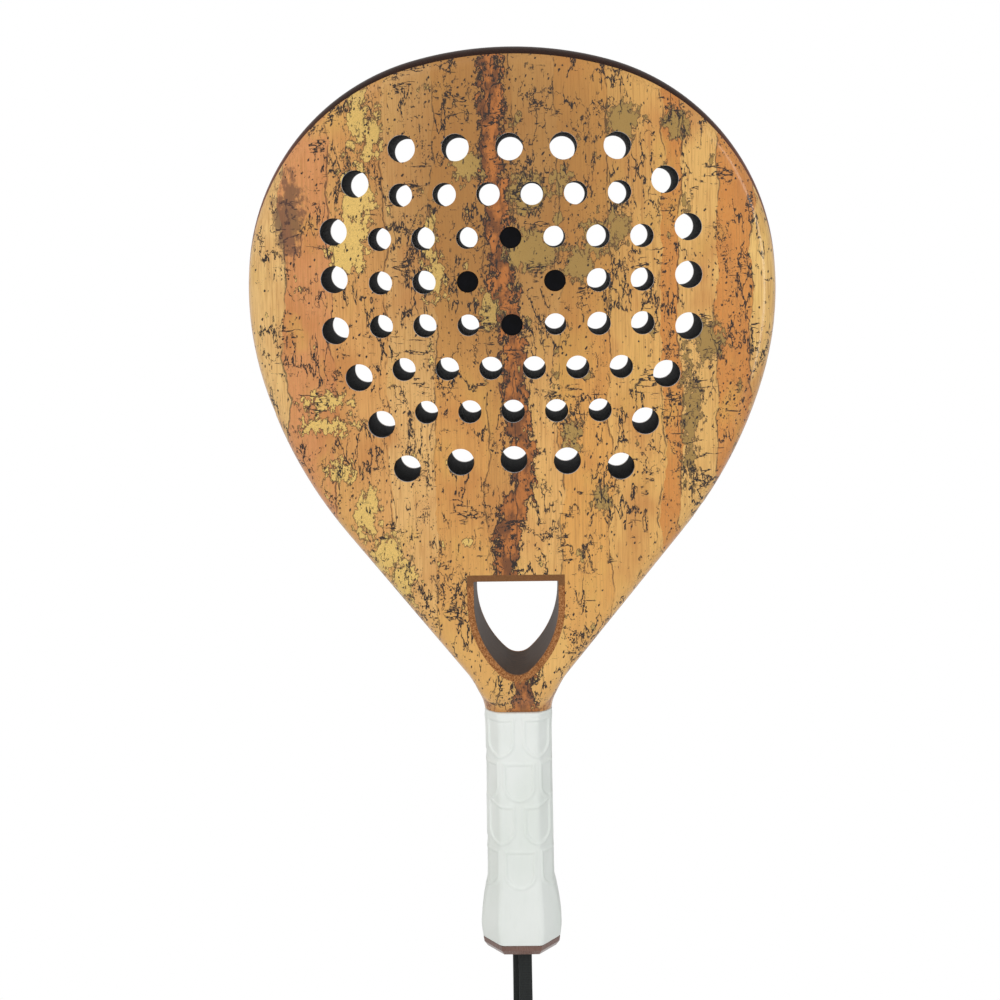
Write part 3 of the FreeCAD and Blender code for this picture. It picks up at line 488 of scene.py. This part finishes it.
def webbing_material():
    """Black woven webbing, from the strap's own lengths: u runs along it and v round it."""
    g = Graph("strap_webbing")
    spot = g.node("ShaderNodeUVMap").outputs["UV"]
    u, v, _ = g.parts(spot)
    picks = g.math("SINE", g.math("MULTIPLY", u, 2 * math.pi / 0.9))
    ends = g.math("SINE", g.math("MULTIPLY", v, 2 * math.pi / 0.62))
    weave = g.math("MAXIMUM", g.math("MULTIPLY", picks, ends), g.math("MULTIPLY", ends, 0.7))
    fuzz = g.noise(g.stretched(g.joined(u, v, 0.0), 0.9, 3.4, 1.0), detail=5.0, rough=0.7)
    colour = g.mix(g.step(weave, -0.5, 0.8), rgb(12, 13, 13), rgb(44, 47, 46))
    colour = g.mix(g.math("MULTIPLY", g.step(fuzz, 0.45, 0.8), 0.5), colour, rgb(62, 66, 64))
    g.bump(g.math("ADD", g.math("MULTIPLY", weave, 0.4), fuzz), 0.00016, 0.8)
    return g.finish(colour, 0.78, Sheen_Weight=0.25, Sheen_Roughness=0.4, Specular_IOR_Level=0.25)


def wood_material():
    """Beech of the inner handle parts: long grain and small rays."""
    g = Graph("handle_wood")
    place = g.place()
    grain = g.noise(g.stretched(place, 0.7, 0.7, 0.03), detail=6.0, rough=0.65, distort=0.4)
    rays = g.cells(g.stretched(place, 2.0, 2.0, 0.35))
    colour = g.mix(g.step(grain, 0.3, 0.7), rgb(206, 164, 116), rgb(166, 118, 76))
    colour = g.mix(g.math("MULTIPLY", g.step(rays, 0.25, 0.08), 0.4), colour, rgb(130, 88, 54))
    g.bump(grain, 0.00008)
    return g.finish(colour, g.math("ADD", 0.5, g.math("MULTIPLY", grain, 0.2)))


def steel_material():
    """Brushed steel wire and rod."""
    g = Graph("bright_steel")
    place = g.place()
    brushed = g.noise(g.stretched(place, 0.3, 6.0, 6.0), detail=4.0, rough=0.7)
    colour = g.mix(brushed, rgb(150, 152, 156), rgb(206, 208, 212))
    g.bump(brushed, 0.00002)
    return g.finish(colour, g.math("ADD", 0.22, g.math("MULTIPLY", brushed, 0.2)), Metallic=1.0)


def dress(materials):
    """Gives each CAD node its finished material."""
    for node, material in materials.items():
        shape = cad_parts[node]
        for slot in shape.material_slots:
            slot.link = "OBJECT"
            slot.material = material


# ---------------------------------------------------------------- mesh helpers
def mesh_piece(name, points, faces, material, body):
    """A smooth-shaded mesh; with a body named it rides that body."""
    mesh = bpy.data.meshes.new(name)
    mesh.from_pydata([tuple(point) for point in points], [], faces)
    mesh.update()
    mesh.materials.append(material)
    mesh.shade_smooth()
    piece = bpy.data.objects.new(name, mesh)
    scene.collection.objects.link(piece)
    if body:
        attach(piece, body)
    return piece


def lattice_faces(rows, columns):
    """Quads of rows of points that close on themselves."""
    return [
        (r * columns + c, r * columns + (c + 1) % columns,
         (r + 1) * columns + (c + 1) % columns, (r + 1) * columns + c)
        for r in range(rows - 1) for c in range(columns)
    ]


# ---------------------------------------------------------------- grip sleeve
# Stations of the grip: height, half width, half depth, corner in X and in Y, in millimetres.
GRIP_STATIONS = (
    (59.75, 16.9, 15.1, 6.6, 6.6),
    (50.0, 16.35, 15.0, 6.6, 6.6),
    (-28.0, 16.65, 15.0, 6.8, 6.8),
    (-36.0, 18.3, 15.1, 7.8, 8.0),
    (-45.0, 19.85, 15.3, 8.8, 9.2),
    (-52.5, 20.5, 15.4, 9.3, 10.0),
    (-59.75, 19.8, 15.0, 9.5, 10.2),
)
# The shields moulded into the grip: rows by the height of their top, and how far a row's tops
# sweep up round the side; odd rows sit over the corners, even rows over the middle of the faces.
SHIELD_ROWS = ((57.6, 0.0, "odd"), (35.1, 0.0, "even"), (12.9, 0.022, "odd"), (-10.0, 0.0, "even"))
SHIELD_COLUMNS = {"odd": (10.4, 28.2, 46.0), "even": (0.0, 19.3, 37.1, 56.4)}
SHIELD_TALL, SHIELD_HALF, RIM_WIDE = 21.0, 8.6, 2.3
RIM_PROUD, PANEL_SUNK = 0.42, 0.16
GRIP_AROUND, GRIP_RISE = 300, 0.42
CORNER_SOFTNESS = 1.7


def ease(value, low, high):
    """0 below low, 1 above high, smooth between, for arrays."""
    t = np.clip((value - low) / (high - low), 0.0, 1.0)
    return t * t * (3 - 2 * t)


def station_at(height):
    """The grip's half width, half depth and corners at a height, eased between the stations."""
    table = np.array(GRIP_STATIONS[::-1])
    heights, sizes = table[:, 0], table[:, 1:]
    steep = np.diff(sizes, axis=0) / np.diff(heights)[:, None]
    before, after = steep[:-1], steep[1:]
    # harmonic means keep the curve between its stations, with no waist beside the flare
    both = np.where(before * after > 0, before + after, np.inf)
    slopes = np.vstack([steep[:1], 2 * before * after / both, steep[-1:]])
    k = int(np.clip(np.searchsorted(heights, height) - 1, 0, len(heights) - 2))
    span = heights[k + 1] - heights[k]
    t = (height - heights[k]) / span
    start, end = sizes[k], sizes[k + 1]
    out = (2 * t**3 - 3 * t**2 + 1) * start + (t**3 - 2 * t**2 + t) * span * slopes[k]
    return out + (3 * t**2 - 2 * t**3) * end + (t**3 - t**2) * span * slopes[k + 1]


def octagon_ring(half_x, half_y, corner_x, corner_y, count):
    """count points round an octagon with softened corners from the middle of the front face, and the
    distance of each round it, counted from the nearer of front and rear middles with the front at 0."""
    nx, ny = half_x - corner_x, half_y - corner_y
    corners = np.array([
        (0, -half_y), (nx, -half_y), (half_x, -ny), (half_x, ny), (nx, half_y),
        (-nx, half_y), (-half_x, ny), (-half_x, -ny), (-nx, -half_y), (0, -half_y),
    ])
    lengths = np.linalg.norm(np.diff(corners, axis=0), axis=1)
    marks = np.concatenate([[0], np.cumsum(lengths)])
    fine = 4 * count
    spots = np.linspace(0, marks[-1], fine, endpoint=False)
    ring = np.stack([np.interp(spots, marks, corners[:, axis]) for axis in (0, 1)], axis=1)
    reach = max(1, int(CORNER_SOFTNESS / (marks[-1] / fine)))
    soft = sum(np.roll(ring, shift, axis=0) for shift in range(-reach, reach + 1)) / (2 * reach + 1)
    spots = spots[::4]
    return soft[::4], np.minimum(spots, marks[-1] - spots)


def shield_relief(around, height):
    """How far the sleeve stands out at each place round it, in millimetres, for one height."""
    relief = np.zeros_like(around)
    for top, sweep, kind in SHIELD_ROWS:
        for middle in SHIELD_COLUMNS[kind]:
            aside = around - middle
            roof = top + sweep * np.clip(around - 5.0, 0.0, 14.0) ** 2
            foot = top - SHIELD_TALL + SHIELD_HALF
            drop = np.minimum(height - foot, 0.0)
            edge = np.maximum(np.hypot(aside, drop) - SHIELD_HALF, height - roof)
            inside = -edge
            rim = ease(inside, 0.0, 0.7) * (1 - ease(inside, RIM_WIDE - 0.9, RIM_WIDE))
            panel = ease(inside, RIM_WIDE - 0.9, RIM_WIDE)
            relief = np.where(inside > 0, RIM_PROUD * rim - PANEL_SUNK * panel, relief)
    return relief


def grip_sleeve(material):
    """Moulded sleeve: rolled lip round the neck, shields in relief, and a rolled foot."""
    top, foot = GRIP_STATIONS[0][0], GRIP_STATIONS[-1][0]
    heights = np.arange(top - 0.6, foot + 0.5, -GRIP_RISE)
    rings = []
    half_x, half_y, corner_x, corner_y = station_at(top)

    def level(grow, height):
        ring, _ = octagon_ring(half_x + grow, half_y + grow, corner_x, corner_y, GRIP_AROUND)
        return [(x, y, height) for x, y in ring]

    for grow, rise in ((-3.9, -1.5), (-3.7, 0.3), (-1.4, 0.34), (-0.5, 0.26), (-0.12, 0.0)):
        rings.append(level(grow, top + rise))
    for height in heights:
        sizes = station_at(height)
        ring, around = octagon_ring(*sizes, GRIP_AROUND)
        scale = around.max() / 56.4
        out = shield_relief(around / scale, height)
        ahead = np.roll(ring, -1, axis=0) - np.roll(ring, 1, axis=0)
        normal = np.stack([ahead[:, 1], -ahead[:, 0]], axis=1)
        normal /= np.linalg.norm(normal, axis=1)[:, None]
        rings.append([(x, y, height) for x, y in ring + normal * (out - 0.12)[:, None]])
    half_x, half_y, corner_x, corner_y = station_at(foot)
    for grow, rise in ((-0.1, 0.3), (-0.5, 0.05), (-1.2, 0.05), (-1.3, 2.0)):
        rings.append(level(grow, foot + rise))
    points = [Vector(point) * MM for ring in rings for point in ring]
    faces = lattice_faces(len(rings), GRIP_AROUND)
    sleeve = mesh_piece("grip_sleeve_moulded", points, faces, material, "racket")
    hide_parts("grip_sleeve")
    return sleeve


# ---------------------------------------------------------------- strap
# The strap's line: across, depth and height in millimetres. Its front leg hangs beside its rear
# leg, and the two change sides round the lowest bend.
STRAP_ROUTE = (
    (1.5, -1.4, -66.75), (1.5, -1.4, -92.0), (1.8, -1.9, -118.0), (1.6, -9.0, -149.0),
    (0.9, -22.5, -177.0), (0.3, -24.0, -202.0), (0.1, -9.9, -216.2),
    (-0.1, 9.9, -216.2), (-0.3, 24.0, -202.0), (-0.9, 22.5, -177.0),
    (-1.6, 9.0, -149.0), (-1.8, 1.9, -118.0), (-1.5, 1.4, -92.0), (-1.5, 1.4, -66.75),
)
STRAP_WIDE, STRAP_THICK = 6.8, 1.9


def route_line(name, route):
    """Points along the NURBS curve whose control points are the route's, in metres."""
    data = bpy.data.curves.new(name, "CURVE")
    data.dimensions = "3D"
    data.resolution_u = 16
    spline = data.splines.new("NURBS")
    spline.points.add(len(route) - 1)
    for point, place in zip(spline.points, route):
        point.co = (*(Vector(place) * MM), 1.0)
    spline.order_u = 3
    spline.use_endpoint_u = True
    guide = bpy.data.objects.new(name, data)
    scene.collection.objects.link(guide)
    bpy.context.view_layer.update()
    line = bpy.data.meshes.new_from_object(guide)
    points = [vertex.co.copy() for vertex in line.vertices]
    bpy.data.objects.remove(guide)
    return points


def webbing_section():
    """Outline of the flat webbing, across and through, with rounded selvedges."""
    wide, thick = STRAP_WIDE / 2 * MM, STRAP_THICK / 2 * MM
    lace = 0.75 * thick
    section = []
    for sx, sy, start in ((1, 1, 0), (-1, 1, 90), (-1, -1, 180), (1, -1, 270)):
        for step in range(4):
            angle = math.radians(start + 30 * step)
            corner = sx * (wide - lace), sy * (thick - lace)
            section.append((corner[0] + lace * math.cos(angle), corner[1] + lace * math.sin(angle)))
    return section


def webbing_strip(name, line, material):
    """The webbing swept along a line, its width lying along X, with lengths as its UVs."""
    section = webbing_section()
    around = [0.0]
    for here, after in zip(section, section[1:] + section[:1]):
        around.append(around[-1] + math.dist(here, after))
    points, travelled = [], [0.0]
    for number, spot in enumerate(line):
        before, after = line[max(number - 1, 0)], line[min(number + 1, len(line) - 1)]
        ahead = (after - before).normalized()
        across = (Vector((1, 0, 0)) - ahead * ahead.x).normalized()
        through = ahead.cross(across)
        points += [spot + across * a + through * b for a, b in section]
        if number:
            travelled.append(travelled[-1] + (spot - line[number - 1]).length)
    count = len(section)
    faces = lattice_faces(len(line), count)
    faces += [tuple(range(count))[::-1], tuple(range(len(points) - count, len(points)))]
    strip = mesh_piece(name, points, faces, material, None)
    layer = strip.data.uv_layers.new(name="UVMap")
    for number, face in enumerate(strip.data.polygons):
        row, column = divmod(number, count)
        if row >= len(line) - 1:
            continue
        spots = ((row, column), (row, column + 1), (row + 1, column + 1), (row + 1, column))
        for loop, (r, c) in zip(face.loop_indices, spots):
            layer.data[loop].uv = (travelled[r] / MM, around[c] / MM)
    return strip


def wrist_strap(material):
    """The doubled webbing loop as a mesh, standing in for the CAD strap, which it hides."""
    line = route_line("strap_line", STRAP_ROUTE)
    strip = webbing_strip("wrist_strap_webbing", line, material)
    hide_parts("wrist_strap")
    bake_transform(strip)


# ---------------------------------------------------------------- light and floor
def area_light(name, place, target, wide, tall, power, tint=(1, 1, 1), mirrored=True):
    """A rectangular lamp turned towards a point; one that isn't mirrored shows in no reflection."""
    data = bpy.data.lights.new(name, "AREA")
    data.shape, data.size, data.size_y, data.energy = "RECTANGLE", wide, tall, power
    data.color = tint
    light = bpy.data.objects.new(name, data)
    scene.collection.objects.link(light)
    light.location = place
    light.visible_glossy = mirrored
    light.rotation_euler = (Vector(target) - Vector(place)).to_track_quat("-Z", "Y").to_euler()


def seen_white(tree, shader):
    """Shader that camera, mirror and glass rays see as plain white, and other rays see as it is."""
    path = tree.nodes.new("ShaderNodeLightPath")
    white = tree.nodes.new("ShaderNodeEmission" if shader.type != "BACKGROUND" else "ShaderNodeBackground")
    white.inputs["Color"].default_value = (1, 1, 1, 1)
    white.inputs["Strength"].default_value = 1.0
    seen = path.outputs["Is Camera Ray"]
    for kind in ("Is Glossy Ray", "Is Transmission Ray"):
        either = tree.nodes.new("ShaderNodeMath")
        either.operation = "MAXIMUM"
        tree.links.new(seen, either.inputs[0])
        tree.links.new(path.outputs[kind], either.inputs[1])
        seen = either.outputs[0]
    choice = tree.nodes.new("ShaderNodeMixShader")
    tree.links.new(seen, choice.inputs[0])
    tree.links.new(shader.outputs[0], choice.inputs[1])
    tree.links.new(white.outputs[0], choice.inputs[2])
    return choice.outputs[0]


FLOOR_GAP, FLOOR_REACH = 0.004, 3.0
SURROUND_STRENGTH = 0.38
LIT_MIDDLE = (0, 0, 0.2)


def studio():
    """Pale floor under the hanging strap, white surround, one key, a strip at the right and a fill."""
    floor_level = cad_box[0][2] - FLOOR_GAP
    data = bpy.data.meshes.new("floor")
    corners = ((-1, -1), (1, -1), (1, 1), (-1, 1))
    points = [(sx * FLOOR_REACH, sy * FLOOR_REACH, floor_level) for sx, sy in corners]
    data.from_pydata(points, [], [(0, 1, 2, 3)])
    floor = bpy.data.objects.new("floor", data)
    scene.collection.objects.link(floor)
    material = bpy.data.materials.new("floor_white")
    material.use_nodes = True
    tree = material.node_tree
    shader = tree.nodes["Principled BSDF"]
    shader.inputs["Base Color"].default_value = (0.9, 0.9, 0.9, 1)
    shader.inputs["Roughness"].default_value = 0.7
    tree.links.new(seen_white(tree, shader), tree.nodes["Material Output"].inputs["Surface"])
    data.materials.append(material)

    world = bpy.data.worlds.new("surround")
    scene.world = world
    world.use_nodes = True
    tree = world.node_tree
    sky = tree.nodes["Background"]
    sky.inputs["Color"].default_value = (1, 1, 1, 1)
    sky.inputs["Strength"].default_value = SURROUND_STRENGTH
    tree.links.new(seen_white(tree, sky), tree.nodes["World Output"].inputs["Surface"])

    area_light("key", (-0.7, -1.6, 1.5), LIT_MIDDLE, 1.2, 1.2, 15, mirrored=False)
    area_light("strip", (1.15, -1.35, 0.35), LIT_MIDDLE, 0.35, 1.3, 8, (0.92, 0.96, 1.0))
    area_light("fill", (-1.3, -0.9, 0.2), LIT_MIDDLE, 0.8, 1.2, 3.5, mirrored=False)


# ---------------------------------------------------------------- the whole
def build():
    """Camera, the two visible stand-ins, a material for every CAD node, and the studio."""
    make_camera()
    webbing = webbing_material()
    wrist_strap(webbing)
    grip_sleeve(grip_material())
    brown_plastic = dict(roughness=0.28, Specular_IOR_Level=0.5, Coat_Weight=0.25, Coat_Roughness=0.15)
    laminate = composite_material("fibre_laminate", (20, 20, 22), (44, 44, 48))
    wood = wood_material()
    filler = foam_material("filler_foam", (52, 50, 46))
    dress({
        "front_cork": cork("cork_front", GILT_FRONT, 2.0, 1.0),
        "rear_cork": cork("cork_rear", GILT_REAR, 40.0, 0.8),
        "front_laminate": laminate,
        "rear_laminate": laminate,
        "head_guard": guard_material(),
        "throat_liner": liner_material(),
        "core_foam": foam_material("core_foam_black", (14, 14, 16)),
        "shoulder_foam": foam_material("shoulder_foam_black", (18, 18, 20)),
        "hole_plugs": foam_material("plug_foam_black", (16, 16, 19)),
        "frame_hoop": composite_material("hoop_composite", (26, 26, 28), (58, 58, 62)),
        "throat_bridge": composite_material("bridge_composite", (26, 26, 28), (58, 58, 62)),
        "throat_ring": composite_material("ring_composite", (30, 28, 26), (60, 56, 52)),
        "hoop_filler": filler,
        "handle_filler": filler,
        "front_pallet": wood,
        "rear_pallet": wood,
        "butt_insert": wood,
        "grip_underlay": moulded("underlay_foam", (196, 198, 194), (176, 178, 172), 0.8, 1.4, 0.0001),
        "butt_cap": moulded("cap_plastic", (116, 82, 68), (104, 72, 60), **brown_plastic),
        "cap_staples": steel_material(),
        "anchor_pin": steel_material(),
        "strap_tail": moulded("tail_webbing", (22, 23, 23), (40, 42, 42), 0.8, 3.0, 0.00012),
        "strap_slider": moulded("slider_plastic", (20, 20, 21), (34, 34, 36), 0.38, 2.8, 0.00003),
    })
    studio()
    scene.view_settings.view_transform = "Standard"


build()
